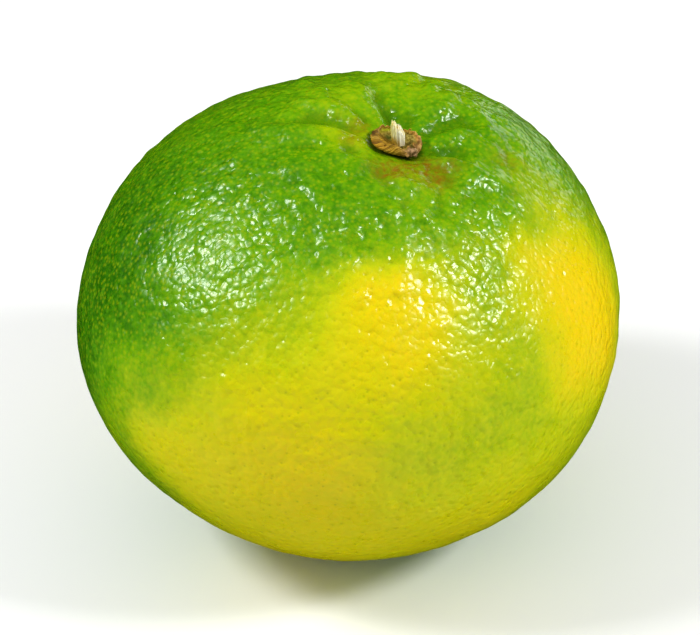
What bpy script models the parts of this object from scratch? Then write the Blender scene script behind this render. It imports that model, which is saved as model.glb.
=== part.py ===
"""A sweet orange as picked: the fruit, the woody calyx in its stem end and the torn stub of its stalk.

Each piece is turned about the fruit's own core axis and then pushed in and out by formulas. The core axis runs from
the blossom end up to the stem end. The whole fruit leans, as it lies on a small flat spot on its underside.
The blender unit is the metre, +Z is up, and the origin is on the surface that the fruit rests on.
"""

import math

import bmesh
import bpy
from mathutils import Matrix, Vector, noise

MM = 0.001

# The fruit's body, before the relief of its skin
EQUATOR_RADIUS = 38.6 * MM
STEM_HALF_HEIGHT = 33.3 * MM
BLOSSOM_HALF_HEIGHT = 32.9 * MM
OVAL_SHARE = 0.009
OVAL_AZIMUTH = math.radians(12)

# How it lies: the stem end tips to the right and towards the viewer at -Y
LEAN_TOWARDS = Vector((0.190, -0.110, 0.975)).normalized()
FLAT_SPOT_DEPTH = 0.75 * MM

# The hollow round the stem, wider on one side, its raised shoulders and the level seat of the calyx
HOLLOW_DEPTH = 2.8 * MM
HOLLOW_RADIUS = 6.4 * MM
HOLLOW_LOPSIDE_SHARE = 0.22
HOLLOW_WIDE_AZIMUTH = math.radians(65)
SHOULDER_HEIGHT = 0.75 * MM
SHOULDER_DISTANCE = 15.0 * MM
SHOULDER_WIDTH = 6.5 * MM
SEAT_RADIUS = 4.1 * MM
SEAT_EDGE = 1.0 * MM

# Furrows that run out from the calyx: azimuth in degrees, then reach, depth and half width, and bend in degrees
FURROWS = (
    (-100, 11.0 * MM, 0.55 * MM, 1.5 * MM, -12),
    (-40, 13.0 * MM, 0.90 * MM, 1.4 * MM, 4),
    (2, 16.0 * MM, 1.10 * MM, 1.3 * MM, -10),
    (44, 17.0 * MM, 1.15 * MM, 1.4 * MM, -13),
    (72, 15.0 * MM, 0.70 * MM, 1.4 * MM, 10),
    (92, 21.0 * MM, 1.60 * MM, 1.9 * MM, 12),
    (130, 16.0 * MM, 0.80 * MM, 1.5 * MM, 10),
    (158, 18.0 * MM, 1.25 * MM, 1.5 * MM, 6),
    (-156, 12.0 * MM, 0.75 * MM, 1.4 * MM, 10),
)
FURROW_START = 4.3 * MM
FURROW_RAMP = 2.6 * MM

# Uneven growth: azimuth and angle from the stem, both in degrees, then height and angular width in degrees
SWELLINGS = (
    (22, 62, 1.80 * MM, 34),
    (60, 46, 2.20 * MM, 29),
    (150, 62, 0.60 * MM, 30),
    (-95, 100, 0.30 * MM, 40),
    (-66, 104, -0.60 * MM, 20),
    (-160, 103, 1.80 * MM, 36),
    (95, 118, -0.50 * MM, 30),
)

# The blossom end, opposite the stem
BLOSSOM_HOLLOW_DEPTH = 0.7 * MM
BLOSSOM_HOLLOW_RADIUS = 4.2 * MM

# Leathery lumps of the skin, larger round the stem
LUMP_SIZE = 9.0 * MM
LUMP_HEIGHT = 0.22 * MM
STEM_LUMP_SIZE = 4.6 * MM
STEM_LUMP_HEIGHT = 0.55 * MM
STEM_LUMP_REACH = 23.0 * MM

# Rings and meridians of the fruit's mesh: rings stand close together at the stem and spread out below it
MERIDIANS = 90
RING_STEP_AT_STEM = math.radians(1.35)
RING_STEP_GROWTH = 1.055
RING_STEP_MOST = math.radians(4.6)

# The calyx, a woody cup with a thin worn rim. It is longer one way than across, with four blunt corners
CALYX_RADIUS = 3.25 * MM
CALYX_HEIGHT = 1.45 * MM
CALYX_RECESS_RADIUS = 1.95 * MM
CALYX_FLOOR = 0.45 * MM
CALYX_LENGTH_SHARE = 0.17
CALYX_LENGTH_AZIMUTH = math.radians(168)
CALYX_CORNER_SHARE = 0.035
CALYX_CORNER_AZIMUTH = math.radians(-50)
CALYX_RIM_WEAR = 0.20 * MM
CALYX_SEGMENTS = 50

# The stub of the stalk, a torn woody flake that stands in the calyx, off its middle, and leans to the left
STUB_FOOT = Vector((0.40 * MM, -0.55 * MM, 0))
STUB_RADIUS = 1.05 * MM
STUB_HEIGHT = 3.8 * MM
STUB_FLATNESS = 0.80
STUB_SHEAR = -0.27
STUB_TIP_SHIFT = -0.36 * MM
STUB_SEGMENTS = 18

# Neighbouring pieces stand this far apart
CLEARANCE = 0.3 * MM


def smooth_step(low, high, value):
    share = min(1.0, max(0.0, (value - low) / (high - low)))
    return share * share * (3.0 - 2.0 * share)


def bell(value, width):
    return math.exp(-((value / width) ** 2))


def direction_at(azimuth, from_stem):
    """The unit direction at an azimuth and an angle from the stem, both in radians."""
    ring = math.sin(from_stem)
    return Vector((ring * math.cos(azimuth), ring * math.sin(azimuth), math.cos(from_stem)))


def half_height(from_stem):
    """Centre to pole: the stem's half height above the equator, and the blossom's below it."""
    return STEM_HALF_HEIGHT if from_stem < math.pi / 2 else BLOSSOM_HALF_HEIGHT


def spheroid_radius(from_stem):
    across = math.sin(from_stem) / EQUATOR_RADIUS
    along = math.cos(from_stem) / half_height(from_stem)
    return 1.0 / math.hypot(across, along)


def furrow_relief(azimuth, distance):
    """How far the furrows lower the skin at a distance from the core axis."""
    relief = 0.0
    for degrees, reach, depth, half_width, bend in FURROWS:
        course = math.radians(degrees + bend * distance / reach)
        turn = (azimuth - course + math.pi) % (2 * math.pi) - math.pi
        if abs(turn) > math.pi / 2:
            continue
        sideways = distance * math.sin(turn)
        begins = smooth_step(FURROW_START, FURROW_START + FURROW_RAMP, distance)
        fades = 1.0 - smooth_step(0.45 * reach, reach, distance)
        relief -= depth * begins * fades * bell(sideways, half_width)
    return relief


def stem_relief(azimuth, distance):
    """The hollow round the stem, the shoulders that stand round it and the furrows between them."""
    lopside = HOLLOW_LOPSIDE_SHARE * math.cos(azimuth - HOLLOW_WIDE_AZIMUTH)
    hollow = -HOLLOW_DEPTH * bell(distance, HOLLOW_RADIUS * (1.0 + lopside))
    shoulder = SHOULDER_HEIGHT * bell(distance - SHOULDER_DISTANCE, SHOULDER_WIDTH)
    return hollow + shoulder + furrow_relief(azimuth, distance)


def growth_relief(direction):
    relief = 0.0
    for azimuth, from_stem, height, width in SWELLINGS:
        middle = direction_at(math.radians(azimuth), math.radians(from_stem))
        relief += height * bell(direction.angle(middle), math.radians(width))
    return relief


def lump_relief(point, distance, upper):
    """Noise, which is the same each time for the same point."""
    relief = LUMP_HEIGHT * noise.noise(point / LUMP_SIZE)
    near_stem = upper * smooth_step(SEAT_RADIUS, 1.8 * SEAT_RADIUS, distance)
    near_stem *= 1.0 - smooth_step(0.55 * STEM_LUMP_REACH, STEM_LUMP_REACH, distance)
    return relief + STEM_LUMP_HEIGHT * near_stem * noise.noise(point / STEM_LUMP_SIZE)


def skin_point(azimuth, from_stem):
    """The point of the fruit's skin in a direction from its centre, in the fruit's own axes."""
    direction = direction_at(azimuth, from_stem)
    radius = spheroid_radius(from_stem)
    distance = radius * math.sin(from_stem)
    upper = 1.0 if from_stem < math.pi / 2 else 0.0
    oval = OVAL_SHARE * math.cos(2 * (azimuth - OVAL_AZIMUTH)) * math.sin(from_stem) ** 2
    radius *= 1.0 + oval
    radius += growth_relief(direction)
    radius += lump_relief(direction * radius, distance, upper)
    if upper:
        radius += stem_relief(azimuth, distance)
    else:
        radius -= BLOSSOM_HOLLOW_DEPTH * bell(distance, BLOSSOM_HOLLOW_RADIUS)
    return direction * radius


def mean_skin_height(distance):
    """The skin's height above the centre at a distance from the core axis, averaged round it."""
    from_stem = math.asin(distance / STEM_HALF_HEIGHT)
    turns = [2 * math.pi * step / MERIDIANS for step in range(MERIDIANS)]
    return sum(skin_point(turn, from_stem).z for turn in turns) / MERIDIANS


def lean_matrix():
    """The least turn that takes the upright core axis to its lean."""
    return Vector((0, 0, 1)).rotation_difference(LEAN_TOWARDS).to_matrix()


def ring_angles():
    """Angles from the stem of the rings, poles included: fine at the stem and coarser below."""
    angles = [0.0]
    step = RING_STEP_AT_STEM
    while angles[-1] + 1.5 * step < math.pi:
        angles.append(angles[-1] + step)
        step = min(step * RING_STEP_GROWTH, RING_STEP_MOST)
    return [*angles, math.pi]


def turned_mesh(name, profile, segments):
    """A closed mesh turned about Z from a profile of (radius, height) points, from one pole to the other."""
    mesh_maker = bmesh.new()
    points = [mesh_maker.verts.new((radius, 0.0, height)) for radius, height in profile]
    edges = [mesh_maker.edges.new(pair) for pair in zip(points, points[1:])]
    bmesh.ops.spin(
        mesh_maker,
        geom=points + edges,
        cent=(0, 0, 0),
        axis=(0, 0, 1),
        angle=2 * math.pi,
        steps=segments,
        use_merge=True,
    )
    bmesh.ops.remove_doubles(mesh_maker, verts=mesh_maker.verts, dist=0.001 * MM)
    bmesh.ops.recalc_face_normals(mesh_maker, faces=mesh_maker.faces)
    mesh = bpy.data.meshes.new(name)
    mesh_maker.to_mesh(mesh)
    mesh_maker.free()
    return mesh


def rest_on_flat_spot(points, lean):
    """Levels the lowest part of the leaning fruit, and returns the height of the centre above that spot."""
    up = lean.inverted() @ Vector((0, 0, 1))
    floor = min(point.dot(up) for point in points) + FLAT_SPOT_DEPTH
    for point in points:
        point += up * max(0.0, floor - point.dot(up))
    return -floor


def fruit_mesh(lean):
    angles = ring_angles()
    profile = [(math.sin(angle), math.cos(angle)) for angle in angles]
    mesh = turned_mesh("fruit", profile, MERIDIANS)
    seat_height = mean_skin_height(SEAT_RADIUS)
    points = []
    for vertex in mesh.vertices:
        azimuth = math.atan2(vertex.co.y, vertex.co.x)
        from_stem = math.acos(min(1.0, max(-1.0, vertex.co.z)))
        point = skin_point(azimuth, from_stem)
        distance = math.hypot(point.x, point.y)
        if point.z > 0:
            blend = smooth_step(SEAT_RADIUS, SEAT_RADIUS + SEAT_EDGE, distance)
            point.z = seat_height + (point.z - seat_height) * blend
        points.append(point)
    centre_height = rest_on_flat_spot(points, lean)
    for vertex, point in zip(mesh.vertices, points):
        vertex.co = point
    return mesh, seat_height, centre_height


def calyx_mesh():
    """The cup stands on z = 0: a flared outside, a worn rim, and a recess whose floor carries the stub."""
    profile = (
        (0.0, 0.0),
        (0.40 * CALYX_RADIUS, 0.0),
        (0.70 * CALYX_RADIUS, 0.0),
        (0.92 * CALYX_RADIUS, 0.12 * CALYX_HEIGHT),
        (1.00 * CALYX_RADIUS, 0.42 * CALYX_HEIGHT),
        (0.99 * CALYX_RADIUS, 0.72 * CALYX_HEIGHT),
        (0.93 * CALYX_RADIUS, 1.00 * CALYX_HEIGHT),
        (0.84 * CALYX_RADIUS, 1.00 * CALYX_HEIGHT),
        (0.70 * CALYX_RADIUS, 0.56 * CALYX_HEIGHT),
        (CALYX_RECESS_RADIUS, CALYX_FLOOR),
        (0.5 * CALYX_RECESS_RADIUS, CALYX_FLOOR),
        (0.0, CALYX_FLOOR),
    )
    mesh = turned_mesh("calyx", profile, CALYX_SEGMENTS)
    for vertex in mesh.vertices:
        distance = math.hypot(vertex.co.x, vertex.co.y)
        azimuth = math.atan2(vertex.co.y, vertex.co.x)
        outer = smooth_step(1.1 * CALYX_RECESS_RADIUS, CALYX_RADIUS, distance)
        spread = CALYX_LENGTH_SHARE * math.cos(2 * (azimuth - CALYX_LENGTH_AZIMUTH))
        spread += CALYX_CORNER_SHARE * math.cos(4 * (azimuth - CALYX_CORNER_AZIMUTH))
        wear = CALYX_RIM_WEAR * math.sin(3 * azimuth + 0.4) + 0.6 * CALYX_RIM_WEAR * math.sin(7 * azimuth)
        raised = smooth_step(0.4 * CALYX_HEIGHT, CALYX_HEIGHT, vertex.co.z)
        vertex.co.x *= 1.0 + spread * outer
        vertex.co.y *= 1.0 + spread * outer
        vertex.co.z += wear * outer * raised
    return mesh


def stub_mesh():
    """The flake stands on z = 0: flat sided, leaning towards -X, and torn to a tip beside a sloping shoulder."""
    profile = (
        (0.0, 0.0),
        (0.82 * STUB_RADIUS, 0.0),
        (0.88 * STUB_RADIUS, 0.15 * STUB_HEIGHT),
        (0.98 * STUB_RADIUS, 0.35 * STUB_HEIGHT),
        (1.00 * STUB_RADIUS, 0.56 * STUB_HEIGHT),
        (0.86 * STUB_RADIUS, 0.72 * STUB_HEIGHT),
        (0.52 * STUB_RADIUS, 0.84 * STUB_HEIGHT),
        (0.34 * STUB_RADIUS, 0.98 * STUB_HEIGHT),
        (0.0, STUB_HEIGHT),
    )
    mesh = turned_mesh("stem_stub", profile, STUB_SEGMENTS)
    for vertex in mesh.vertices:
        height_share = vertex.co.z / STUB_HEIGHT
        azimuth = math.atan2(vertex.co.y, vertex.co.x)
        ragged = 1.0 + 0.10 * math.sin(4 * azimuth + 1.3) * smooth_step(0.05, 0.5, height_share)
        vertex.co.x *= ragged
        vertex.co.y *= ragged * (1.0 - (1.0 - STUB_FLATNESS) * smooth_step(0.0, 0.4, height_share))
        vertex.co.x += STUB_SHEAR * vertex.co.z + STUB_TIP_SHIFT * smooth_step(0.70, 0.88, height_share)
    mesh.transform(Matrix.Translation(STUB_FOOT))
    return mesh


def material(name, colour, roughness):
    made = bpy.data.materials.new(name)
    made.use_nodes = True
    shader = made.node_tree.nodes["Principled BSDF"]
    shader.inputs["Base Color"].default_value = (*colour, 1.0)
    shader.inputs["Roughness"].default_value = roughness
    shader.inputs["Metallic"].default_value = 0.0
    return made


def add_piece(mesh, parent, height, finish):
    """One named object on the core axis, at a height above the fruit's centre."""
    mesh.materials.append(finish)
    mesh.shade_smooth()
    piece = bpy.data.objects.new(mesh.name, mesh)
    bpy.context.scene.collection.objects.link(piece)
    piece.parent = parent
    piece.location = (0, 0, height)
    return piece


def centre_over_origin(core, pieces):
    """Moves the whole fruit sideways so that the middle of its box stands over the origin."""
    bpy.context.view_layer.update()
    points = [piece.matrix_world @ vertex.co for piece in pieces for vertex in piece.data.vertices]
    core.location.x -= 0.5 * (min(p.x for p in points) + max(p.x for p in points))
    core.location.y -= 0.5 * (min(p.y for p in points) + max(p.y for p in points))


def main():
    for old in list(bpy.data.objects):
        bpy.data.objects.remove(old)
    lean = lean_matrix()
    core = bpy.data.objects.new("core_axis", None)
    bpy.context.scene.collection.objects.link(core)
    core.rotation_euler = lean.to_euler()

    body, seat_height, centre_height = fruit_mesh(lean)
    core.location.z = centre_height
    calyx_height = seat_height + CLEARANCE
    stub_height = calyx_height + CALYX_FLOOR + CLEARANCE
    peel = material("ripening_peel", (0.46, 0.50, 0.01), 0.36)
    bark = material("calyx_bark", (0.26, 0.16, 0.03), 0.80)
    wood = material("stub_wood", (0.74, 0.60, 0.26), 0.75)
    pieces = [
        add_piece(body, core, 0.0, peel),
        add_piece(calyx_mesh(), core, calyx_height, bark),
        add_piece(stub_mesh(), core, stub_height, wood),
    ]
    centre_over_origin(core, pieces)


main()
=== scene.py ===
"""The looks of a sweet orange that is turning from green to yellow, lying on a pale studio floor.

The peel is a fine mesh cast onto the CAD fruit. Formulas give it a leathery relief. They also store fields
on it for its material: how ripe and how russet it is, how deep it lies in folds, and where its pores are.
Lengths are in metres. A place on the fruit is an azimuth round its core axis and an angle from its stem,
both in degrees.
"""

import math
import random

import bmesh
import bpy
import numpy as np
from mathutils import Matrix, Vector, geometry, noise
from mathutils.bvhtree import BVHTree
from mathutils.kdtree import KDTree


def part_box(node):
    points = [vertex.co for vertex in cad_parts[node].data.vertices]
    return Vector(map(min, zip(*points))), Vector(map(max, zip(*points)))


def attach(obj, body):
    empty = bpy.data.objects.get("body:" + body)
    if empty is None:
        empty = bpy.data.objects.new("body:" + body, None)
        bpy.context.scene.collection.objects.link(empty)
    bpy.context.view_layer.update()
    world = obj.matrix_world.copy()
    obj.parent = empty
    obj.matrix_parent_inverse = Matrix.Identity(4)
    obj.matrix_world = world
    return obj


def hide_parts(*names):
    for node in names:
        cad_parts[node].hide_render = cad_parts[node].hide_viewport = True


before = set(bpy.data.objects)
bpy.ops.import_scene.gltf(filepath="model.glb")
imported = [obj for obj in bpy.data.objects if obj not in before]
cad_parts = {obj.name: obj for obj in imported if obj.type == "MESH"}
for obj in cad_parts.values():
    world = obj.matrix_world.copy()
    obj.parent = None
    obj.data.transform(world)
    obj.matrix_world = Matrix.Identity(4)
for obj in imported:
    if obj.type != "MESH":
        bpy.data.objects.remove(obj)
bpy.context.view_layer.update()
MM = 0.001
GOLDEN_TURN = math.pi * (3.0 - math.sqrt(5.0))

# The core axis leans as it does in the CAD model, and meets the middle of the calyx
LEAN_TOWARDS = Vector((0.190, -0.110, 0.975)).normalized()
LEAN = Vector((0, 0, 1)).rotation_difference(LEAN_TOWARDS).to_matrix()

# The peel's mesh is a cut cube, whose grid is crowded towards the side that faces up and forwards
PEEL_CUTS = 126
CROWDING = 0.74
CROWDED_TOWARDS = Vector((0.08, -0.72, 0.69)).normalized()

# How far it is rounded off the CAD triangles, and how often it is smoothed before and after the relief
ROUNDING = 0.75
RELAX_ROUNDS = 9
EASE_ROUNDS = 3

# Leathery relief, as pairs of size and height, and how far the skin sinks to keep it inside the CAD box
LEATHER = ((3.4 * MM, 0.190 * MM), (1.7 * MM, 0.100 * MM))
RELIEF_SINK = 0.10 * MM

# The leather calms over this range of heights along the core axis, down to this share
CALM_RANGE = (-10.0 * MM, 14.0 * MM)
CALMEST = 0.5

# Wrinkles near the stem, as pairs of size and height, and over which distances they rise and fade
STEM_WRINKLES = ((3.6 * MM, 0.60 * MM), (1.8 * MM, 0.22 * MM))
STEM_WRINKLES_RISE = (4.2 * MM, 6.72 * MM)
STEM_WRINKLES_FADE = (13.2 * MM, 33.0 * MM)

# Ridges that run out from the stem between the furrows: azimuth, start, end, half width and height
STEM_RIDGES = (
    (22, 4.6 * MM, 17.0 * MM, 1.3 * MM, 1.00 * MM),
    (-20, 5.2 * MM, 19.0 * MM, 1.2 * MM, 1.00 * MM),
    (-66, 6.0 * MM, 12.0 * MM, 1.4 * MM, 0.40 * MM),
    (-128, 6.0 * MM, 15.0 * MM, 1.5 * MM, 0.40 * MM),
    (60, 5.0 * MM, 15.0 * MM, 1.3 * MM, 0.50 * MM),
    (112, 5.0 * MM, 15.0 * MM, 1.4 * MM, 0.60 * MM),
    (143, 4.8 * MM, 17.0 * MM, 1.2 * MM, 1.00 * MM),
    (178, 5.2 * MM, 14.0 * MM, 1.2 * MM, 0.60 * MM),
)

# Pores, spread evenly and then jittered, and the shallowest as a share of the deepest
PORE_SPACING = 1.50 * MM
PORE_JITTER = 0.20
PORE_WIDTH = 0.34 * MM
DIMPLE_WIDTH = 0.62 * MM
PORE_DEPTH = 0.08 * MM
SHALLOWEST_PORE = 0.2
PORE_CELL = 0.866 * PORE_SPACING**2

# The calyx's level seat and the spot that the fruit rests on are kept free of relief
SEAT_RANGE = (4.1 * MM, 5.125 * MM)
REST_CLEARANCE = 0.6 * MM

# The peel bulges round the cup, and rises and falls over these distances beyond the cup's edge
BULGE_HEIGHT = 0.35 * MM
BULGE_RISE = (0.0, 0.6 * MM)
BULGE_FALL = (1.6 * MM, 3.6 * MM)

# Width of the hollow round the stem, where the skin is glossier, and the shaded edge under the cup
HOLLOW_WIDTH = 11.0 * MM
SEAT_SHADE_RANGE = (-0.3 * MM, 0.3 * MM)

# Painted shade darkens the skin in folds, from where it is hardly hollow to where it is deep
SMOOTHING_ROUNDS = 200
FOLD_RANGE = (-0.08 * MM, 0.34 * MM)

# Ripeness from green to gold. A lobe is an azimuth, an angle from the stem, an angular width and a strength
UNRIPE = 0.66
RIPEST = 1.14
RIPE_LOBES = (
    (-90, 51, 14, 1.10),
    (-80, 43, 8, 0.45),
    (-104, 81, 24, 1.02),
    (-122, 67, 12, 0.18),
    (-96, 115, 30, 0.74),
    (-102, 142, 22, 0.60),
    (-68, 61, 15, 0.50),
    (-34, 48, 13, 0.70),
    (-20, 65, 19, 1.90),
    (-54, 101, 26, 0.85),
    (-130, 99, 15, 0.55),
    (-134, 91, 8, 0.22),
    (-170, 84, 32, -0.24),
    (-148, 55, 12, 0.14),
    (-62, 35, 7, 0.25),
    (-70, 15, 9, 0.22),
    (-170, 10, 7, 0.35),
    (138, 21, 13, 0.24),
    (0, 36, 12, 0.25),
    (80, 33, 16, 0.25),
    (62, 91, 30, 0.90),
    (140, 111, 34, 0.80),
    (8, 112, 26, 0.50),
)
RIPE_EDGE_WAVER = ((11.0 * MM, 0.10), (4.0 * MM, 0.05))

# Russet marks round the stem: azimuth, distance from the core axis, width and strength
RUSSET_MARKS = (
    (-98, 6.6 * MM, 2.4 * MM, 1.0),
    (-41, 6.0 * MM, 1.9 * MM, 0.9),
    (-51, 8.7 * MM, 2.3 * MM, 1.0),
    (-72, 5.6 * MM, 3.0 * MM, 0.4),
    (146, 5.8 * MM, 1.6 * MM, 0.6),
    (-174, 6.4 * MM, 1.6 * MM, 0.5),
    (-25, 9.1 * MM, 1.4 * MM, 0.5),
    (2, 16.0 * MM, 2.4 * MM, 0.4),
)

# The corky scar at the blossom end
SCAR_RADIUS = 1.3 * MM
SCAR_STRENGTH = 1.2

# The calyx, which is longer one way than across and has four blunt corners
CALYX_SEGMENTS = 168
CALYX_RINGS = 60
CALYX_RADIUS = 3.25 * MM
CALYX_HEIGHT = 1.45 * MM
CALYX_RECESS_RADIUS = 1.95 * MM
CALYX_FLOOR = 0.45 * MM
CALYX_LENGTH_SHARE = 0.17
CALYX_LENGTH_AZIMUTH = math.radians(168)
CALYX_CORNER_SHARE = 0.035
CALYX_CORNER_AZIMUTH = math.radians(-50)
CALYX_SLITS = ((-128, 0.4), (-72, 0.4), (-28, 0.9), (22, 0.6), (74, 0.6), (124, 0.8), (163, 0.5))
SLIT_WIDTH = 0.06
FIBRE_SLANT = 0.6
FIBRE_LENGTH = 30.0 * MM
BARK_ROUGHNESS = 0.035 * MM
CRUMB_ROUGHNESS = 0.15 * MM

# The cup's outline as radius and height, from the middle of its foot over its rim to the middle of its floor
CALYX_PROFILE = (
    (0.0, 0.0),
    (0.70 * CALYX_RADIUS, 0.0),
    (0.92 * CALYX_RADIUS, 0.12 * CALYX_HEIGHT),
    (1.00 * CALYX_RADIUS, 0.42 * CALYX_HEIGHT),
    (0.99 * CALYX_RADIUS, 0.72 * CALYX_HEIGHT),
    (0.96 * CALYX_RADIUS, 0.98 * CALYX_HEIGHT),
    (0.91 * CALYX_RADIUS, 1.00 * CALYX_HEIGHT),
    (0.87 * CALYX_RADIUS, 0.82 * CALYX_HEIGHT),
    (0.80 * CALYX_RADIUS, 0.60 * CALYX_HEIGHT),
    (0.70 * CALYX_RADIUS, 0.44 * CALYX_HEIGHT),
    (0.96 * CALYX_RECESS_RADIUS, CALYX_FLOOR),
    (0.50 * CALYX_RECESS_RADIUS, CALYX_FLOOR),
    (0.0, CALYX_FLOOR),
)

# Sides of the cup, each as an azimuth in degrees and a width in radians
FOLDED_SIDE = (-172, 1.0)
LOW_SIDE = (95, 0.8)
FILLED_SIDE = (-5, 1.1)
SLOPED_SIDE = (-150, 1.0)
CRUMBLY_SIDE = (-46, 0.42)
DARK_SIDE = (162, 0.6)
NEAR_SIDE = (-150, 1.1)
GREEN_SIDE = (118, 0.5)

# The tan parts of the rim, as azimuth and strength, and the dark green pocket in the recess, whose darkness
# is painted shade
TAN_PARTS = ((5, 1.0), (60, 0.6))
TAN_WIDTH = 0.7
POCKET = (-1.0 * MM, 0.9 * MM)
POCKET_WIDTH = 0.6 * MM

# Crumbs of bark at the cup's broken corner
CRUMB_COUNT = 16
CRUMB_AZIMUTH = math.radians(CRUMBLY_SIDE[0])
CRUMB_DISTANCE = 3.1 * MM
CRUMB_RADII = (0.15 * MM, 0.33 * MM)

# A curl of torn fibre behind the stub, as points in mm and a radius at each
CURL = ((1.60, 1.50, 0.90), (1.65, 1.60, 1.45), (1.80, 1.65, 1.75), (2.05, 1.65, 1.70))
CURL_RADII = (0.14 * MM, 0.12 * MM, 0.10 * MM, 0.05 * MM)

# The stub, a bundle of strands off the cup's middle, which leans left and is slimmer at its foot
STUB_FOOT = Vector((0.40 * MM, -0.55 * MM, 0))
STUB_RADIUS = 1.05 * MM
STUB_HEIGHT = 3.55 * MM
STUB_FLATNESS = 0.80
STUB_SHEAR = -0.27
STUB_FOOT_WIDTH = 0.78
STRAND_COUNT = 84
STRAND_RADIUS = 0.16 * MM
STRAND_RINGS = 26
STRAND_SIDES = 9

# The torn edge steps down right of its tip and again at its shoulder, by these shares of the height
TIP_STEP = 0.17
SHOULDER_DROP = 0.20

# The camera looks along +Y and down, from the photograph's side
VIEW_ELEVATION = math.radians(34)
VIEW_DISTANCE = 0.340
VIEW_WIDTH = 0.1035
VIEW_TARGET = Vector((0.0, 0.0, 0.0325))

# Softboxes: direction from the fruit, width, height and power
SOFTBOX_DISTANCE = 0.63
SOFTBOXES = {
    "softbox_left": (Vector((-0.696, -0.095, 0.711)), 0.16, 0.18, 2.35),
    "softbox_right": (Vector((0.749, -0.203, 0.630)), 0.12, 0.14, 2.05),
    "softbox_back": (Vector((0.55, 0.82, 0.16)), 0.30, 0.18, 0.28),
}
SOFTBOX_COLOUR = (0.98, 0.985, 1.0)
ROOM_LIGHT = 0.45
FLOOR_COLOUR = (0.90, 0.90, 0.90, 1.0)

# Finest relief of the skin, in its material only, as size and height with the heights in millimetres
SWELLS = (1.9 * MM, 0.180)
DOMES = (0.95 * MM, 0.125)
CREASE_SPACING = 2.4 * MM
CREASE_HEIGHT = 0.030

# Mottles of the ripeness, as size, detail and strength, and the pale oil glands of green skin
MOTTLES = ((2.6 * MM, 5.0, 0.16), (0.8 * MM, 3.0, 0.26))
GLAND_SPACING = 0.72 * MM
GLAND_EDGE = (0.08, 0.55)

# Colours of the peel: a ramp over its ripeness less RAMP_START, then what is blended over it
RAMP_START = 0.3
PEEL_RAMP = (
    (0.24, (0.030, 0.150, 0.000)),
    (0.34, (0.085, 0.270, 0.000)),
    (0.44, (0.170, 0.370, 0.000)),
    (0.56, (0.330, 0.460, 0.000)),
    (0.67, (0.520, 0.560, 0.000)),
    (0.76, (0.660, 0.580, 0.000)),
    (0.84, (0.830, 0.590, 0.000)),
)
GLAND_COLOUR = (0.360, 0.440, 0.000, 1.0)
PORE_COLOUR = (0.190, 0.280, 0.000, 1.0)
# The painted shade in the folds
FOLD_SHADE_COLOUR = (0.055, 0.150, 0.000, 1.0)
STAIN_COLOUR = (0.260, 0.220, 0.002, 1.0)
CORK_COLOUR = (0.250, 0.120, 0.004, 1.0)
SEAT_SHADE_COLOUR = (0.055, 0.062, 0.001, 1.0)

# Colours of the calyx
BARK_RAMP = (
    (0.30, (0.120, 0.048, 0.001)),
    (0.42, (0.330, 0.170, 0.004)),
    (0.54, (0.560, 0.320, 0.014)),
    (0.68, (0.760, 0.520, 0.090)),
)
TAN_RAMP = (
    (0.34, (0.160, 0.070, 0.016)),
    (0.46, (0.480, 0.230, 0.060)),
    (0.62, (0.740, 0.430, 0.150)),
)
GREY_RAMP = (
    (0.36, (0.050, 0.028, 0.018)),
    (0.64, (0.420, 0.270, 0.170)),
)
PITH_RAMP = (
    (0.36, (0.090, 0.070, 0.008)),
    (0.50, (0.270, 0.220, 0.034)),
    (0.66, (0.480, 0.420, 0.110)),
)
DARK_SIDE_COLOUR = (0.070, 0.030, 0.001, 1.0)
# Lighter tan along the rim's top edge: partly its tan colour, partly painted highlight
RIM_TAN_AND_HIGHLIGHT_COLOUR = (0.620, 0.400, 0.120, 1.0)
# Golden brown of the recess by the front-left wall, made paler as painted light against the wall's shade
NEAR_WALL_WITH_PAINTED_LIGHT_COLOUR = (0.580, 0.350, 0.016, 1.0)
# Dark green of the pocket in the recess, darkened as painted shade
POCKET_SHADE_COLOUR = (0.050, 0.085, 0.001, 1.0)
# Green of the steep back-left inner wall, made paler as painted light against its shade
GREEN_WALL_WITH_PAINTED_LIGHT_COLOUR = (0.480, 0.560, 0.006, 1.0)

# Colours of the stub. Its palest wood is pushed almost to white, which is partly painted light
WOOD_WITH_PAINTED_LIGHT_RAMP = (
    (0.34, (0.680, 0.520, 0.150)),
    (0.44, (0.930, 0.830, 0.450)),
    (0.54, (1.000, 0.960, 0.740)),
)
STRAND_COLOUR = (0.820, 0.690, 0.260, 1.0)
LEFT_SIDE_COLOUR = (0.740, 0.640, 0.130, 1.0)
FOOT_COLOUR = (0.520, 0.360, 0.012, 1.0)

# Gloss and depth of the three materials
PEEL_ROUGHNESS = (0.26, 0.34)
HOLLOW_GLOSS = 0.03
PEEL_FINISH = {
    "Specular IOR Level": 0.45,
    "Coat Weight": 0.10,
    "Coat Roughness": 0.12,
    "Subsurface Weight": 0.10,
    "Subsurface Radius": (1.0, 0.6, 0.05),
    "Subsurface Scale": 1.2 * MM,
}
CALYX_FINISH = {"Roughness": 0.70, "Specular IOR Level": 0.30}
STUB_FINISH = {
    "Roughness": 0.60,
    "Subsurface Weight": 0.15,
    "Subsurface Radius": (1.0, 0.8, 0.4),
    "Subsurface Scale": 0.6 * MM,
}


# Arithmetic on arrays

def smooth_step(low, high, values):
    share = np.clip((values - low) / (high - low), 0.0, 1.0)
    return share * share * (3.0 - 2.0 * share)


def bell(values, width):
    return np.exp(-((values / width) ** 2))


def noise_on(points, size, seed):
    """Smooth noise from about -1 to 1 at each point, with lumps of that size."""
    shift = Vector((17.3 * seed, -9.1 * seed, 5.7 * seed))
    return np.array([noise.noise(Vector(point) / size + shift) for point in points])


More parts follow.
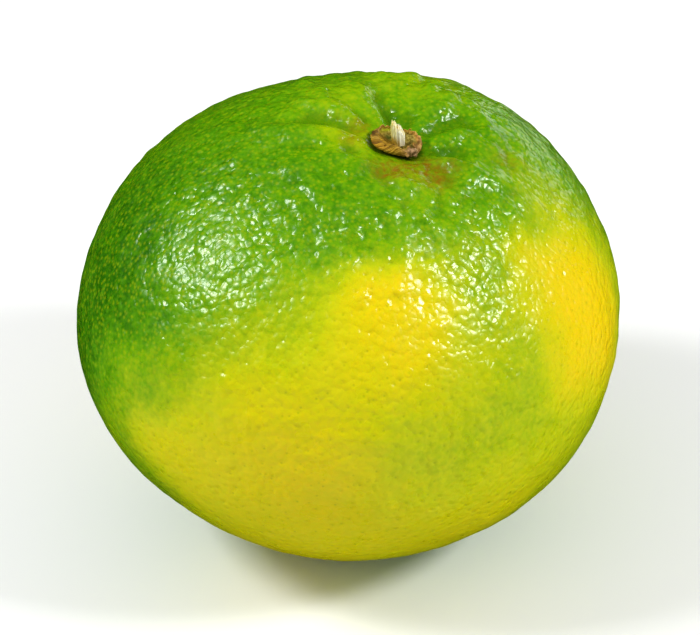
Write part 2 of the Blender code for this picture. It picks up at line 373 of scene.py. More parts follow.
def lumps_on(points, size, seed):
    """Round lumps with creases between them, from about -0.3 to 0.7."""
    return 2.0 * np.sqrt(noise_on(points, size, seed) ** 2 + 0.012) - 0.5


def direction_at(azimuth, from_stem):
    """The unit direction of a place on the fruit, in its own axes."""
    turn = math.radians(azimuth)
    tilt = math.radians(from_stem)
    return np.array((math.sin(tilt) * math.cos(turn), math.sin(tilt) * math.sin(turn), math.cos(tilt)))


def vertex_values(mesh, attribute="co"):
    values = np.empty(3 * len(mesh.vertices), np.float32)
    mesh.vertices.foreach_get(attribute, values)
    return values.reshape(-1, 3).astype(float)


def set_places(mesh, points):
    mesh.vertices.foreach_set("co", points.astype(np.float32).ravel())
    mesh.update()


def above_floor(points):
    """The points, with none below the floor."""
    points[:, 2] = np.maximum(points[:, 2], 0.0)
    return points


def store(mesh, name, values, domain="POINT"):
    """Keeps a number or a vector for each vertex or face, which the material reads by name."""
    if values.ndim == 1:
        layer = mesh.attributes.new(name, "FLOAT", domain)
        layer.data.foreach_set("value", values.astype(np.float32))
    else:
        layer = mesh.attributes.new(name, "FLOAT_VECTOR", domain)
        layer.data.foreach_set("vector", values.astype(np.float32).ravel())


# Where the fruit's core lies, from the frame

def middle_of(node):
    low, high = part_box(node)
    return (low + high) / 2


def core_centre():
    """The point of the core axis at half the fruit's height."""
    calyx_middle = middle_of("calyx")
    down = (calyx_middle.z - middle_of("fruit").z) / LEAN_TOWARDS.z
    return calyx_middle - down * LEAN_TOWARDS


CORE = core_centre()


def base_on_axis(node):
    """Where the node's base meets the core axis."""
    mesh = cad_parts[node].data
    lowest = min((vertex.co - CORE).dot(LEAN_TOWARDS) for vertex in mesh.vertices)
    return CORE + lowest * LEAN_TOWARDS


def in_own_axes(points):
    """Points from the frame, seen from the fruit's centre and along its core axis."""
    return (points - np.array(CORE)) @ np.array(LEAN)


def core_distance(own):
    return np.hypot(own[:, 0], own[:, 1])


# The peel's mesh

def cube_directions(cuts):
    """A cube's surface cut to a fine grid, as a mesh of unit directions with squares of similar size."""
    maker = bmesh.new()
    bmesh.ops.create_cube(maker, size=2.0)
    bmesh.ops.subdivide_edges(maker, edges=maker.edges, cuts=cuts, use_grid_fill=True)
    mesh = bpy.data.meshes.new("peel")
    maker.to_mesh(mesh)
    maker.free()
    directions = np.tan(vertex_values(mesh) * math.pi / 4)
    return mesh, directions / np.linalg.norm(directions, axis=1)[:, None]


def crowded(directions, pole, share):
    """Draws directions towards a pole as a zoomed stereographic map does, so small squares stay square."""
    along = directions @ pole
    flat = (directions - along[:, None] * pole) / (1.0 + along)[:, None]
    flat *= share
    reach = np.sum(flat**2, axis=1)[:, None]
    return (2.0 * flat + (1.0 - reach) * pole) / (1.0 + reach)


def welded_solid(node):
    """A CAD node's mesh with its triangles joined, and with smooth normals at their corners."""
    solid = bmesh.new()
    solid.from_mesh(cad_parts[node].data)
    bmesh.ops.remove_doubles(solid, verts=solid.verts, dist=0.001 * MM)
    bmesh.ops.triangulate(solid, faces=solid.faces)
    solid.normal_update()
    solid.faces.ensure_lookup_table()
    return solid


def rounded_place(corners, place):
    """Lifts a place on a flat triangle towards the round surface that its corners' normals describe."""
    flat = [corner.co for corner in corners]
    lifted = [place + (corner.co - place).dot(corner.normal) * corner.normal for corner in corners]
    return place.lerp(geometry.barycentric_transform(place, *flat, *lifted), ROUNDING)


def cast_on(node, directions):
    """Where rays from the fruit's centre leave the CAD node."""
    solid = welded_solid(node)
    tree = BVHTree.FromBMesh(solid)
    places = []
    for direction in directions:
        place, _, index, _ = tree.ray_cast(CORE, Vector(direction))
        places.append(rounded_place(solid.faces[index].verts, place))
    solid.free()
    return np.array(places)


def relaxed(mesh, points, rounds):
    """Moves each point halfway to the middle of its neighbours, again and again."""
    ends = np.empty(2 * len(mesh.edges), np.int32)
    mesh.edges.foreach_get("vertices", ends)
    first, second = ends.reshape(-1, 2).T
    count = np.bincount(ends, minlength=len(points))[:, None]
    for _ in range(rounds):
        total = np.zeros_like(points)
        for axis in range(3):
            total[:, axis] += np.bincount(first, points[second, axis], len(points))
            total[:, axis] += np.bincount(second, points[first, axis], len(points))
        points = 0.5 * (points + total / count)
    return points


# Pores

def pore_directions(radius):
    """Evenly spread directions, each turned a little at random, and one depth for each."""
    draw = random.Random(11)
    count = int(4 * math.pi * radius**2 / PORE_CELL)
    wander = float(PORE_JITTER * PORE_SPACING / radius)
    directions = []
    for step in range(count):
        height = 1.0 - 2.0 * (step + 0.5) / count
        ring = math.sqrt(1.0 - height * height)
        turn = step * GOLDEN_TURN
        direction = Vector((ring * math.cos(turn), ring * math.sin(turn), height))
        direction += wander * Vector([draw.gauss(0, 1) for _ in range(3)])
        directions.append(direction.normalized())
    return directions, np.array([draw.uniform(SHALLOWEST_PORE, 1.0) for _ in directions])


def pores_on(mesh):
    """Where the pores lie on the peel, and how deep each is as a share."""
    radii = np.linalg.norm(vertex_values(mesh) - np.array(CORE), axis=1)
    directions, depths = pore_directions(radii.mean())
    solid = bmesh.new()
    solid.from_mesh(mesh)
    tree = BVHTree.FromBMesh(solid)
    solid.free()
    return [tree.ray_cast(CORE, direction)[0] for direction in directions], depths


def nearest_of(centres, points):
    """The number of the centre nearest to each point."""
    tree = KDTree(len(centres))
    for index, centre in enumerate(centres):
        tree.insert(centre, index)
    tree.balance()
    return np.array([tree.find(Vector(point))[1] for point in points])


def face_middles(mesh):
    middles = np.empty(3 * len(mesh.polygons), np.float32)
    mesh.polygons.foreach_get("center", middles)
    return middles.reshape(-1, 3).astype(float)


# Fields over the peel

def ripeness(own):
    """From about 0.6, deep green, to 1.14, golden."""
    waver = np.zeros_like(own)
    for number, (size, strength) in enumerate(RIPE_EDGE_WAVER):
        for axis in range(3):
            waver[:, axis] += strength * noise_on(own, size, 3 * number + axis + 1)
    directions = own / np.linalg.norm(own, axis=1)[:, None] + waver
    directions /= np.linalg.norm(directions, axis=1)[:, None]
    total = np.zeros(len(own))
    for azimuth, from_stem, width, strength in RIPE_LOBES:
        away = np.arccos(np.clip(directions @ direction_at(azimuth, from_stem), -1.0, 1.0))
        total += strength * bell(away, math.radians(width))
    return UNRIPE + (RIPEST - UNRIPE) * np.tanh(total)


def russet(own):
    """Brown corky marks round the stem and at the blossom end."""
    total = np.zeros(len(own))
    for azimuth, distance, width, strength in RUSSET_MARKS:
        turn = math.radians(azimuth)
        sideways = np.hypot(own[:, 0] - distance * math.cos(turn), own[:, 1] - distance * math.sin(turn))
        total += strength * bell(sideways, width) * (own[:, 2] > 0)
    scar = 1.0 - smooth_step(SCAR_RADIUS, 1.6 * SCAR_RADIUS, core_distance(own))
    total += SCAR_STRENGTH * scar * (own[:, 2] < 0)
    return np.clip(total, 0.0, 1.0)


def ridges(own):
    """Height of the ridges that run out from the stem."""
    azimuth, distance, _ = turned_parts(own)
    height = np.zeros(len(own))
    for degrees, start, end, half_width, amount in STEM_RIDGES:
        turn = np.angle(np.exp(1j * (azimuth - math.radians(degrees))))
        rise = smooth_step(start, start + 2.0 * MM, distance)
        fall = 1.0 - smooth_step(0.5 * end, end, distance)
        height += amount * rise * fall * bell(distance * turn, half_width) * (own[:, 2] > 0)
    return height


def leatheriness(own):
    """How strong the leathery relief is: the skin is smoother low down on the fruit."""
    return CALMEST + (1.0 - CALMEST) * smooth_step(*CALM_RANGE, own[:, 2])


def peel_relief(own):
    """Height of the skin's relief, which sinks the skin a little on the whole to stay in the CAD box."""
    height = ridges(own) - RELIEF_SINK
    for number, (size, amount) in enumerate(LEATHER):
        height += amount * leatheriness(own) * lumps_on(own, size, 20 + number)
    distance = core_distance(own)
    near_stem = smooth_step(*STEM_WRINKLES_RISE, distance)
    near_stem *= 1.0 - smooth_step(*STEM_WRINKLES_FADE, distance)
    for number, (size, amount) in enumerate(STEM_WRINKLES):
        height += amount * near_stem * (own[:, 2] > 0) * lumps_on(own, size, 30 + number)
    return height


def fold_depth(mesh):
    """From 0 to 1 where the skin lies below its smoothed self, which is in furrows and between wrinkles."""
    points = vertex_values(mesh)
    sunk = np.sum((relaxed(mesh, points, SMOOTHING_ROUNDS) - points) * vertex_values(mesh, "normal"), axis=1)
    return smooth_step(*FOLD_RANGE, sunk)


def calyx_spread(azimuth):
    """How much farther than its mean the calyx reaches, as a share."""
    longer = CALYX_LENGTH_SHARE * np.cos(2 * (azimuth - CALYX_LENGTH_AZIMUTH))
    return longer + CALYX_CORNER_SHARE * np.cos(4 * (azimuth - CALYX_CORNER_AZIMUTH))


def beyond_calyx(own):
    """Distance of each point outwards from the calyx's edge."""
    azimuth, distance, _ = turned_parts(own)
    return distance - CALYX_RADIUS * (1.0 + calyx_spread(azimuth))


def bulge(own):
    """How far the skin swells round the calyx, as a share."""
    gap = beyond_calyx(own)
    return (own[:, 2] > 0) * smooth_step(*BULGE_RISE, gap) * (1.0 - smooth_step(*BULGE_FALL, gap))


def free_of_seats(own, points):
    """From 0 on the calyx's seat and the resting spot to 1 where relief may rise."""
    seat = np.where(own[:, 2] > 0, smooth_step(*SEAT_RANGE, core_distance(own)), 1.0)
    return seat * smooth_step(0.0, REST_CLEARANCE, points[:, 2])


def cast_peel():
    """The bare peel, a mesh of small squares on the CAD fruit, and its points."""
    mesh, directions = cube_directions(PEEL_CUTS)
    directions = crowded(directions, np.array(CROWDED_TOWARDS), CROWDING)
    points = above_floor(relaxed(mesh, cast_on("fruit", directions), RELAX_ROUNDS))
    set_places(mesh, points)
    return mesh, points


def store_peel_fields(mesh, own, clear):
    """Keeps what the peel's material reads, by where its points lay before the relief."""
    upper = own[:, 2] > 0
    centres, depths = pores_on(mesh)
    nearest = nearest_of(centres, face_middles(mesh))
    store(mesh, "ripeness", ripeness(own))
    store(mesh, "russet", russet(own))
    store(mesh, "sunken", bell(core_distance(own), HOLLOW_WIDTH) * upper)
    store(mesh, "seat_shade", (1.0 - smooth_step(*SEAT_SHADE_RANGE, beyond_calyx(own))) * upper)
    store(mesh, "pore_centre", np.array(centres)[nearest], "FACE")
    store(mesh, "pore_depth", depths[nearest], "FACE")
    store(mesh, "clear_of_seat", clear)
    store(mesh, "leatheriness", leatheriness(own))
    store(mesh, "fold_depth", fold_depth(mesh))


def make_peel():
    """The peel, with its relief and what its material reads."""
    mesh, points = cast_peel()
    own = in_own_axes(points)
    clear = free_of_seats(own, points)
    relief = clear * peel_relief(own) + BULGE_HEIGHT * bulge(own)
    points = relaxed(mesh, points + relief[:, None] * vertex_values(mesh, "normal"), EASE_ROUNDS)
    set_places(mesh, above_floor(points))
    store_peel_fields(mesh, own, clear)
    mesh.materials.append(peel_material())
    mesh.shade_smooth()
    return add_object("peel", mesh)


# The calyx and the stub

def curve_through(profile, count):
    """Points along a smooth curve through a profile of (radius, height), with sharp turns eased."""
    stations = np.linspace(0.0, 1.0, len(profile))
    wanted = np.linspace(0.0, 1.0, count)
    radii, heights = np.array(profile).T
    radii = np.interp(wanted, stations, radii)
    heights = np.interp(wanted, stations, heights)
    for values in (radii, heights):
        values[1:-1] = 0.5 * values[1:-1] + 0.25 * (values[:-2] + values[2:])
    return list(zip(radii, heights))


def turned_mesh(name, profile, segments):
    """A closed mesh turned about Z from a profile of (radius, height), from one pole to the other."""
    maker = bmesh.new()
    points = [maker.verts.new((radius, 0.0, height)) for radius, height in profile]
    edges = [maker.edges.new(pair) for pair in zip(points, points[1:])]
    full_turn = 2 * math.pi
    bmesh.ops.spin(
        maker,
        geom=points + edges,
        cent=(0, 0, 0),
        axis=(0, 0, 1),
        angle=full_turn,
        steps=segments,
        use_merge=True,
    )
    bmesh.ops.remove_doubles(maker, verts=maker.verts, dist=0.0005 * MM)
    bmesh.ops.recalc_face_normals(maker, faces=maker.faces)
    mesh = bpy.data.meshes.new(name)
    maker.to_mesh(mesh)
    maker.free()
    return mesh


def turned_parts(points):
    """Azimuth, distance from the axis and height of points round Z."""
    return np.arctan2(points[:, 1], points[:, 0]), np.hypot(points[:, 0], points[:, 1]), points[:, 2]


def round_noise(azimuth, height, turns, size, seed):
    """Noise that closes round the axis: so many lumps for each radian, and of that size along the height."""
    round_points = np.stack([turns * np.cos(azimuth), turns * np.sin(azimuth), height / size], axis=1)
    return noise_on(round_points, 1.0, seed)


def notches(azimuth, places, width):
    """From 0 to 1 near each of some azimuths in degrees, which come with their strengths."""
    total = np.zeros(len(azimuth))
    for place, strength in places:
        away = np.angle(np.exp(1j * (azimuth - math.radians(place))))
        total = np.maximum(total, strength * bell(away, width))
    return total


def on_side(azimuth, side):
    """From 0 to 1 towards one side of the cup."""
    place, width = side
    return notches(azimuth, ((place, 1.0),), width)


def add_rod(maker, spine, radii, sides):
    """A closed rod round a line of points, with a radius at each."""
    turns = [2 * math.pi * side / sides for side in range(sides)]
    rings = []
    for number, (centre, radius) in enumerate(zip(spine, radii)):
        along = spine[min(number + 1, len(spine) - 1)] - spine[max(number - 1, 0)]
        across = along.to_track_quat("Z", "Y")
        circle = [Vector((radius * math.cos(turn), radius * math.sin(turn), 0)) for turn in turns]
        rings.append([maker.verts.new(centre + across @ point) for point in circle])
    for lower, upper in zip(rings, rings[1:]):
        for side in range(sides):
            beside = (side + 1) % sides
            maker.faces.new((lower[side], lower[beside], upper[beside], upper[side]))
    maker.faces.new(rings[0][::-1])
    maker.faces.new(rings[-1])


def add_debris(mesh):
    """Adds the crumbs of bark and the curl of fibre to the turned cup."""
    draw = random.Random(3)
    maker = bmesh.new()
    maker.from_mesh(mesh)
    for _ in range(CRUMB_COUNT):
        turn = CRUMB_AZIMUTH + draw.gauss(0, 0.20)
        away = CRUMB_DISTANCE + draw.gauss(0, 0.22 * MM)
        up = draw.uniform(0.30, 0.90) * CALYX_HEIGHT
        place = Vector((away * math.cos(turn), away * math.sin(turn), up))
        size = draw.uniform(*CRUMB_RADII)
        bmesh.ops.create_icosphere(maker, subdivisions=3, radius=size, matrix=Matrix.Translation(place))
    add_rod(maker, [MM * Vector(point) for point in CURL], CURL_RADII, 10)
    maker.to_mesh(mesh)
    maker.free()


def outwards(distance):
    """From 0 at the edge of the cup's recess to 1 at its outside."""
    return smooth_step(1.1 * CALYX_RECESS_RADIUS, CALYX_RADIUS, distance)


def upwards(height):
    """From 0 low on the cup's wall to 1 at its rim."""
    return smooth_step(0.3 * CALYX_HEIGHT, CALYX_HEIGHT, height)


def slanted(azimuth, height):
    """The azimuth at which the slanting fibre through each point starts."""
    return azimuth - FIBRE_SLANT * height / CALYX_HEIGHT


def worn_cup(turned):
    """The cup's points, spread to its cornered plan, worn along the rim and filled in on the inside."""
    azimuth, distance, height = turned_parts(turned)
    out = distance / CALYX_RADIUS
    outer = outwards(distance)
    raised = upwards(height)
    course = slanted(azimuth, height)
    fibres = round_noise(course, height, 11.0, 9.0 * MM, 1)
    fibres += 0.6 * round_noise(course, height, 24.0, 6.0 * MM, 2)
    broken = round_noise(azimuth, height, 2.4, 4.0 * MM, 3)
    broken += 0.7 * round_noise(azimuth, height, 7.0, 2.0 * MM, 4)
    slits = notches(azimuth, CALYX_SLITS, SLIT_WIDTH)

    worn = 0.022 * fibres + 0.02 * broken * raised - 0.04 * slits
    folded_in = 0.34 * raised * on_side(azimuth, FOLDED_SIDE)
    spread = 1.0 + outer * (calyx_spread(azimuth) + worn - folded_in)
    lift = 0.16 * np.sin(3 * azimuth + 0.4) + 0.10 * np.sin(7 * azimuth) + 0.18 * broken + 0.08 * fibres
    lift -= 0.50 * slits + 0.22 * on_side(azimuth, LOW_SIDE)
    filled = on_side(azimuth, FILLED_SIDE) * smooth_step(0.52, 0.66, out) * (1.0 - outer)
    sloped = on_side(azimuth, SLOPED_SIDE) * smooth_step(0.28, 0.66, out) * (1.0 - outer)

    points = turned.copy()
    points[:, :2] *= spread[:, None]
    points[:, 2] += MM * raised * outer * lift
    for share, amount in ((filled, 0.55 * MM), (sloped, 0.75 * MM)):
        points[:, 2] += amount * share * (points[:, 2] > 0.3 * MM)
    return points


def cup_roughness(turned, height):
    """How far each point is moved along its normal, most at the crumbly corner and not at the foot."""
    azimuth, _, _ = turned_parts(turned)
    crumbs = noise_on(turned, 0.50 * MM, 5) + 0.6 * noise_on(turned, 0.26 * MM, 6)
    amount = BARK_ROUGHNESS + CRUMB_ROUGHNESS * on_side(azimuth, CRUMBLY_SIDE)
    return amount * smooth_step(0.02 * MM, 0.3 * MM, height) * crumbs


def store_cup_fields(mesh, turned, points):
    """Keeps what the cup's material reads, by where its points lay when turned and where they lie now."""
    azimuth, distance, height = turned_parts(turned)
    out = distance / CALYX_RADIUS
    raised = upwards(height)
    course = slanted(azimuth, height)
    inner = 1.0 - smooth_step(0.76, 0.90, out)
    below_rim = 1.0 - smooth_step(0.80 * CALYX_HEIGHT, CALYX_HEIGHT, points[:, 2])
    from_pocket = np.hypot(points[:, 0] - POCKET[0], points[:, 1] - POCKET[1])
    along = points[:, 2] / FIBRE_LENGTH
    # The rim's top edge is lighter: partly tan, partly painted highlight
    store(mesh, "rim", raised * bell(out - 0.94, 0.05))
    store(mesh, "crumbly", on_side(azimuth, CRUMBLY_SIDE) * smooth_step(0.72, 0.84, out))
    store(mesh, "tan_side", raised * notches(azimuth, TAN_PARTS, TAN_WIDTH))
    # Darker towards the cup's left side
    store(mesh, "darker_side", on_side(azimuth, DARK_SIDE))
    store(mesh, "inside", inner * below_rim)
    # The pocket's dark green is partly painted shade in the recess
    store(mesh, "pocket", inner * bell(from_pocket, POCKET_WIDTH))
    # Golden brown by the front-left wall, lightened as painted light where the wall shades the recess
    store(mesh, "near_wall", inner * on_side(azimuth, NEAR_SIDE))
    # The green inner wall is lightened as painted light where it lies in shade
    store(mesh, "green_wall", inner * on_side(azimuth, GREEN_SIDE) * bell(out - 0.80, 0.08))
    store(mesh, "fibre_course", np.stack([np.cos(course), np.sin(course), along], axis=1))


def make_calyx():
    """The cup has a fibrous wall, a thin worn rim with slits, and a rough recess round the stub."""
    mesh = turned_mesh("calyx_cup", curve_through(CALYX_PROFILE, CALYX_RINGS), CALYX_SEGMENTS)
    add_debris(mesh)
    turned = vertex_values(mesh)
    points = worn_cup(turned)
    set_places(mesh, points)
    roughness = cup_roughness(turned, points[:, 2])
    points = above_floor(points + roughness[:, None] * vertex_values(mesh, "normal"))
    set_places(mesh, points)
    store_cup_fields(mesh, turned, points)
    mesh.materials.append(calyx_material())
    mesh.shade_smooth()
    return stand_on_axis("calyx_cup", mesh, "calyx")


def strand_line(across, deep, top, wander_seed):
    """Points along a strand, whose place in the stub's oval section is given as shares of its radius."""
    line = []
    for height in np.linspace(0.0, top, STRAND_RINGS):
        swell = math.sin(math.pi * min(height / STUB_HEIGHT, 0.80) / 1.1)
        reach = (STUB_RADIUS - STRAND_RADIUS) * (STUB_FOOT_WIDTH + (1.0 - STUB_FOOT_WIDTH) * swell)
        wander = 0.04 * MM * noise.noise(Vector((wander_seed, 0.0, height / (1.5 * MM))))
        side = across * reach + wander + STUB_SHEAR * height
        line.append(STUB_FOOT + Vector((side, deep * reach * STUB_FLATNESS, height)))
    return line


def make_stub():
    """Strands stand close together and are torn off along a shoulder that slants down to the right."""
    draw = random.Random(5)
    taper = 1.0 - 0.75 * smooth_step(0.82, 1.0, np.linspace(0.0, 1.0, STRAND_RINGS))
    maker = bmesh.new()
    tints = []
    for number in range(STRAND_COUNT):
        out = math.sqrt((number + 0.5) / STRAND_COUNT)
        across = out * math.cos(number * GOLDEN_TURN)
        deep = out * math.sin(number * GOLDEN_TURN)
        drop = TIP_STEP * smooth_step(-0.42, -0.12, across) + SHOULDER_DROP * smooth_step(0.30, 0.95, across)
        top = STUB_HEIGHT * draw.uniform(0.91, 1.0) * (1.0 - drop)
        thickness = STRAND_RADIUS * draw.uniform(0.85, 1.15)
        add_rod(maker, strand_line(across, deep, top, 3.7 * number), thickness * taper, STRAND_SIDES)
        tints += STRAND_RINGS * STRAND_SIDES * [draw.random()]
    mesh = bpy.data.meshes.new("torn_stub")
    maker.to_mesh(mesh)
    maker.free()
    points = vertex_values(mesh)
    store(mesh, "tint", np.array(tints))
    store(mesh, "height_share", points[:, 2] / STUB_HEIGHT)
    middle = STUB_FOOT.x + STUB_SHEAR * points[:, 2]
    # How far each point lies towards the stub's left side
    store(mesh, "stub_left_side", 1.0 - smooth_step(-0.9, 0.1, (points[:, 0] - middle) / STUB_RADIUS))
    store(mesh, "fibre_course", points * np.array((1.0, 1.0, 0.07)))
    mesh.materials.append(stub_material())
    mesh.shade_smooth()
    return stand_on_axis("torn_stub", mesh, "stem_stub")


def stand_on_axis(name, mesh, node):
    """Places a mesh that stands on z = 0 where the CAD node stands on the leaning core axis."""
    mesh.transform(LEAN.to_4x4())
    base = base_on_axis(node)
    points = vertex_values(mesh) + np.array(base)
    set_places(mesh, points)
    return add_object(name, mesh)


def add_object(name, mesh):
    piece = bpy.data.objects.new(name, mesh)
    bpy.context.scene.collection.objects.link(piece)
    return piece


# Materials

def new_material(name):
    """An empty node tree with a Principled shader on its output."""
    made = bpy.data.materials.new(name)
    made.use_nodes = True
    return made, made.node_tree, made.node_tree.nodes["Principled BSDF"]


def add_node(tree, kind, values=None, **settings):
    """A node with settings, and with each input set to a value or linked from a socket."""
    made = tree.nodes.new(kind)
    for name, setting in settings.items():
        setattr(made, name, setting)
    for key, value in (values or {}).items():
        if isinstance(value, bpy.types.NodeSocket):
            tree.links.new(value, made.inputs[key])
        else:
            made.inputs[key].default_value = value
    return made


def maths(tree, operation, first, *others):
    """Takes a value through the operation with each of the others in turn."""
    for other in others:
        first = add_node(tree, "ShaderNodeMath", {0: first, 1: other}, operation=operation).outputs[0]
    return first


def stored(tree, name, output="Fac"):
    return add_node(tree, "ShaderNodeAttribute", attribute_name=name).outputs[output]


def stored_share(tree, name, share):
    """A stored field times a number."""
    return maths(tree, "MULTIPLY", stored(tree, name), share)


def object_place(tree):
    return add_node(tree, "ShaderNodeTexCoord").outputs["Object"]


def add_bump(tree, shader, height, *inputs):
    """Bends the shader's normals by a height in millimetres."""
    bump = add_node(tree, "ShaderNodeBump", {"Height": height, "Strength": 1.0, "Distance": 1.0 * MM})
    for name in inputs:
        tree.links.new(bump.outputs[0], shader.inputs[name])


def set_finish(shader, finish):
    for name, value in finish.items():
        shader.inputs[name].default_value = value


def ranged(tree, value, from_low, from_high, to_low=0.0, to_high=1.0):
    """Maps a range smoothly onto another, and holds it at its ends."""
    ends = {"From Min": from_low, "From Max": from_high, "To Min": to_low, "To Max": to_high}
    settings = {"interpolation_type": "SMOOTHSTEP"}
    return add_node(tree, "ShaderNodeMapRange", {"Value": value, **ends}, **settings).outputs[0]


def blend(tree, share, first, second):
    values = {0: share, 6: first, 7: second}
    return add_node(tree, "ShaderNodeMix", values, data_type="RGBA").outputs[2]


def ramp(tree, value, stops):
    """A colour ramp with (place, colour) stops."""
    made = add_node(tree, "ShaderNodeValToRGB", {0: value})
    elements = made.color_ramp.elements
    while len(elements) < len(stops):
        elements.new(0.5)
    for element, (place, colour) in zip(elements, stops):
        element.position = place
        element.color = (*colour, 1.0)
    return made.outputs[0]


def spots(tree, size):
    """Distance to the nearest of points scattered that far apart."""
    values = {"Vector": object_place(tree), "Scale": 1.0 / size}
    return add_node(tree, "ShaderNodeTexVoronoi", values, feature="F1").outputs[0]


def clouds(tree, size, detail, place=None):
    """Fractal noise from 0 to 1 with clouds of that size."""
    values = {"Vector": place or object_place(tree), "Scale": 1.0 / size, "Detail": detail}
    return add_node(tree, "ShaderNodeTexNoise", values).outputs[0]


def pore_distance(tree):
    """Distance from the nearest pore."""
    between = {0: object_place(tree), 1: stored(tree, "pore_centre", "Vector")}
    return add_node(tree, "ShaderNodeVectorMath", between, operation="DISTANCE").outputs["Value"]


def crease_distance(tree):
    """Distance from a net of wavering creases, as a share of the size of its meshes."""
    place = object_place(tree)
    values = {"Vector": place, "Scale": 1.0 / (1.6 * MM), "Detail": 1.0}
    waver = add_node(tree, "ShaderNodeTexNoise", values).outputs[1]
    scaled = {0: waver, "Scale": 1.8 * MM}
    shift = add_node(tree, "ShaderNodeVectorMath", scaled, operation="SCALE").outputs[0]
    bent = add_node(tree, "ShaderNodeVectorMath", {0: place, 1: shift}, operation="ADD").outputs[0]
    values = {"Vector": bent, "Scale": 1.0 / CREASE_SPACING}
    return add_node(tree, "ShaderNodeTexVoronoi", values, feature="DISTANCE_TO_EDGE").outputs[0]


def mottled_ripeness(tree):
    """The stored ripeness with coarse and fine mottles, which are stronger on green skin."""
    unevenness = ranged(tree, stored(tree, "ripeness"), 0.80, 1.05, 1.0, 0.35)
    ripe = stored(tree, "ripeness")
    for size, detail, strength in MOTTLES:
        mottle = maths(tree, "SUBTRACT", clouds(tree, size, detail), 0.5)
        ripe = maths(tree, "ADD", ripe, maths(tree, "MULTIPLY", mottle, strength, unevenness))
    return ripe


def peel_colour(tree, ripe, pores, glands):
    greenness = ranged(tree, ripe, 0.98, 0.72)
    colour = ramp(tree, maths(tree, "SUBTRACT", ripe, RAMP_START), PEEL_RAMP)
    colour = blend(tree, maths(tree, "MULTIPLY", glands, greenness, 0.45), colour, GLAND_COLOUR)
    pore_share = maths(tree, "MULTIPLY", maths(tree, "POWER", pores, 2.5), 0.35)
    colour = blend(tree, pore_share, colour, PORE_COLOUR)
    # Painted shade: folds darken towards a deep green, more strongly on green skin
    fold_shade_strength = ranged(tree, greenness, 0.0, 1.0, 0.15, 0.50)
    folds = maths(tree, "MULTIPLY", stored(tree, "fold_depth"), fold_shade_strength)
    colour = blend(tree, folds, colour, FOLD_SHADE_COLOUR)
    colour = blend(tree, stored_share(tree, "russet", 0.45), colour, STAIN_COLOUR)
    flecks = ranged(tree, clouds(tree, 0.9 * MM, 4.0), 0.34, 0.66)
    corky = maths(tree, "MULTIPLY", stored(tree, "russet"), flecks, 0.90)
    colour = blend(tree, corky, colour, CORK_COLOUR)
    return blend(tree, stored_share(tree, "seat_shade", 0.75), colour, SEAT_SHADE_COLOUR)


def skin_height(tree, dimples):
    """Height in millimetres of the finest relief: swells and domes between creases, less the dimples."""
    creases = maths(tree, "MULTIPLY", ranged(tree, crease_distance(tree), 0.0, 0.24), CREASE_HEIGHT)
    swells = maths(tree, "MULTIPLY", clouds(tree, SWELLS[0], 1.0), SWELLS[1])
    domes = maths(tree, "MULTIPLY", maths(tree, "POWER", spots(tree, DOMES[0]), 2.0), DOMES[1])
    height = maths(tree, "SUBTRACT", maths(tree, "ADD", creases, swells), domes)
    height = maths(tree, "MULTIPLY", height, stored(tree, "leatheriness"))
    return maths(tree, "SUBTRACT", height, maths(tree, "MULTIPLY", dimples, PORE_DEPTH / MM))


def peel_material():
    made, tree, shader = new_material("ripening_peel")
    from_pore = pore_distance(tree)
    depth = maths(tree, "MULTIPLY", stored(tree, "pore_depth"), stored(tree, "clear_of_seat"))
    pores = maths(tree, "MULTIPLY", ranged(tree, from_pore, 0.2 * PORE_WIDTH, PORE_WIDTH, 1.0, 0.0), depth)
    dimples = maths(tree, "MULTIPLY", ranged(tree, from_pore, 0.0, DIMPLE_WIDTH, 1.0, 0.0), depth)
    glands = ranged(tree, spots(tree, GLAND_SPACING), *GLAND_EDGE, 1.0, 0.0)
    colour = peel_colour(tree, mottled_ripeness(tree), pores, glands)
    tree.links.new(colour, shader.inputs["Base Color"])
    add_bump(tree, shader, skin_height(tree, dimples), "Normal", "Coat Normal")
    roughness = ranged(tree, clouds(tree, 5.0 * MM, 3.0), 0.3, 0.7, *PEEL_ROUGHNESS)
    roughness = maths(tree, "SUBTRACT", roughness, stored_share(tree, "sunken", HOLLOW_GLOSS))
    tree.links.new(roughness, shader.inputs["Roughness"])
    set_finish(shader, PEEL_FINISH)
    return made


def calyx_colour(tree, fibres, blotches):
    tan = ramp(tree, blotches, TAN_RAMP)
    grey = ramp(tree, clouds(tree, 0.40 * MM, 3.0), GREY_RAMP)
    pith = ramp(tree, clouds(tree, 0.35 * MM, 4.0), PITH_RAMP)
    patchy = ranged(tree, blotches, 0.35, 0.62, 1.0, 0.4)
    # The cup is darker in patches towards its left side
    darker_side = maths(tree, "MULTIPLY", stored(tree, "darker_side"), patchy, 0.90)
    colour = blend(tree, darker_side, ramp(tree, fibres, BARK_RAMP), DARK_SIDE_COLOUR)
    for name, share, tint in (
        ("tan_side", 0.90, tan),
        ("rim", 0.45, RIM_TAN_AND_HIGHLIGHT_COLOUR),
        ("crumbly", 0.80, grey),
        ("inside", 0.90, pith),
        ("near_wall", 0.85, NEAR_WALL_WITH_PAINTED_LIGHT_COLOUR),
        ("pocket", 0.90, POCKET_SHADE_COLOUR),
        ("green_wall", 0.90, GREEN_WALL_WITH_PAINTED_LIGHT_COLOUR),
    ):
        colour = blend(tree, stored_share(tree, name, share), colour, tint)
    return colour


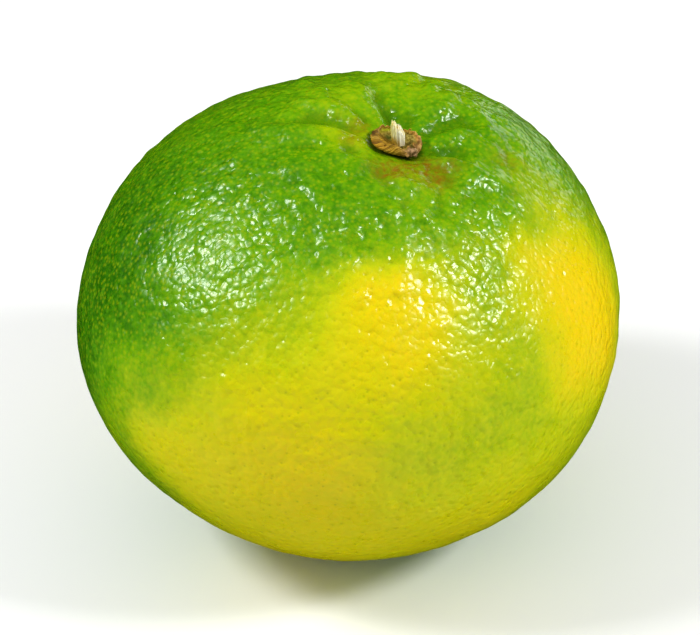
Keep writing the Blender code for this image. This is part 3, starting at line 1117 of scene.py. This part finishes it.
def calyx_material():
    made, tree, shader = new_material("calyx_bark")
    fibres = clouds(tree, 0.060, 5.0, stored(tree, "fibre_course", "Vector"))
    blotches = clouds(tree, 0.8 * MM, 4.0)
    tree.links.new(calyx_colour(tree, fibres, blotches), shader.inputs["Base Color"])
    lines = maths(tree, "MULTIPLY", fibres, 0.26)
    lumps = maths(tree, "MULTIPLY", blotches, 0.12)
    add_bump(tree, shader, maths(tree, "ADD", lines, lumps), "Normal")
    set_finish(shader, CALYX_FINISH)
    return made


def stub_colour(tree, streaks):
    tinted = ranged(tree, stored(tree, "tint"), 0.45, 1.0, 0.0, 0.45)
    # The wood ramp's near-white top is partly painted light
    colour = blend(tree, tinted, ramp(tree, streaks, WOOD_WITH_PAINTED_LIGHT_RAMP), STRAND_COLOUR)
    # Yellower on the stub's left side
    colour = blend(tree, stored_share(tree, "stub_left_side", 0.6), colour, LEFT_SIDE_COLOUR)
    # Darker gold-brown low on the stub's left side
    low = ranged(tree, stored(tree, "height_share"), 0.15, 0.50, 1.0, 0.0)
    leftwards = ranged(tree, stored(tree, "stub_left_side"), 0.0, 0.35, 0.15, 1.0)
    return blend(tree, maths(tree, "MULTIPLY", low, leftwards, 0.85), colour, FOOT_COLOUR)


def stub_material():
    made, tree, shader = new_material("stub_wood")
    streaks = clouds(tree, 0.20 * MM, 4.0, stored(tree, "fibre_course", "Vector"))
    tree.links.new(stub_colour(tree, streaks), shader.inputs["Base Color"])
    add_bump(tree, shader, maths(tree, "MULTIPLY", streaks, 0.10), "Normal")
    set_finish(shader, STUB_FINISH)
    return made


# The studio

def make_floor():
    maker = bmesh.new()
    bmesh.ops.create_grid(maker, x_segments=1, y_segments=1, size=2.0)
    mesh = bpy.data.meshes.new("studio_floor")
    maker.to_mesh(mesh)
    maker.free()
    made, _, shader = new_material("studio_floor")
    set_finish(shader, {"Base Color": FLOOR_COLOUR, "Roughness": 0.60})
    mesh.materials.append(made)
    floor = add_object("studio_floor", mesh)
    floor.visible_glossy = False


def make_room_light():
    world = bpy.data.worlds.new("studio")
    world.use_nodes = True
    world.node_tree.nodes["Background"].inputs["Color"].default_value = (1.0, 1.0, 1.0, 1.0)
    world.node_tree.nodes["Background"].inputs["Strength"].default_value = ROOM_LIGHT
    bpy.context.scene.world = world
    world.cycles_visibility.glossy = False


def make_softboxes():
    for name, (direction, width, height, power) in SOFTBOXES.items():
        data = bpy.data.lights.new(name, "AREA")
        data.shape = "RECTANGLE"
        data.size = width
        data.size_y = height
        data.energy = power
        data.color = SOFTBOX_COLOUR
        lamp = bpy.data.objects.new(name, data)
        lamp.location = VIEW_TARGET + SOFTBOX_DISTANCE * direction.normalized()
        lamp.rotation_euler = direction.to_track_quat("Z", "Y").to_euler()
        bpy.context.scene.collection.objects.link(lamp)


def make_camera():
    data = bpy.data.cameras.new("camera")
    data.sensor_fit = "HORIZONTAL"
    data.angle = 2 * math.atan(0.5 * VIEW_WIDTH / VIEW_DISTANCE)
    data.clip_start = 0.01
    towards_viewer = Vector((0.0, -math.cos(VIEW_ELEVATION), math.sin(VIEW_ELEVATION)))
    camera = bpy.data.objects.new("camera", data)
    camera.location = VIEW_TARGET + VIEW_DISTANCE * towards_viewer
    camera.rotation_euler = towards_viewer.to_track_quat("Z", "Y").to_euler()
    bpy.context.scene.collection.objects.link(camera)
    bpy.context.scene.camera = camera


def dress(piece, node):
    """The piece is hung on the root body and stands in for the CAD node, which is hidden."""
    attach(piece, "root")
    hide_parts(node)


dress(make_peel(), "fruit")
dress(make_calyx(), "calyx")
dress(make_stub(), "stem_stub")
make_floor()
make_room_light()
make_softboxes()
make_camera()
bpy.context.scene.view_settings.view_transform = "Standard"
bpy.context.scene.view_settings.look = "Medium High Contrast"
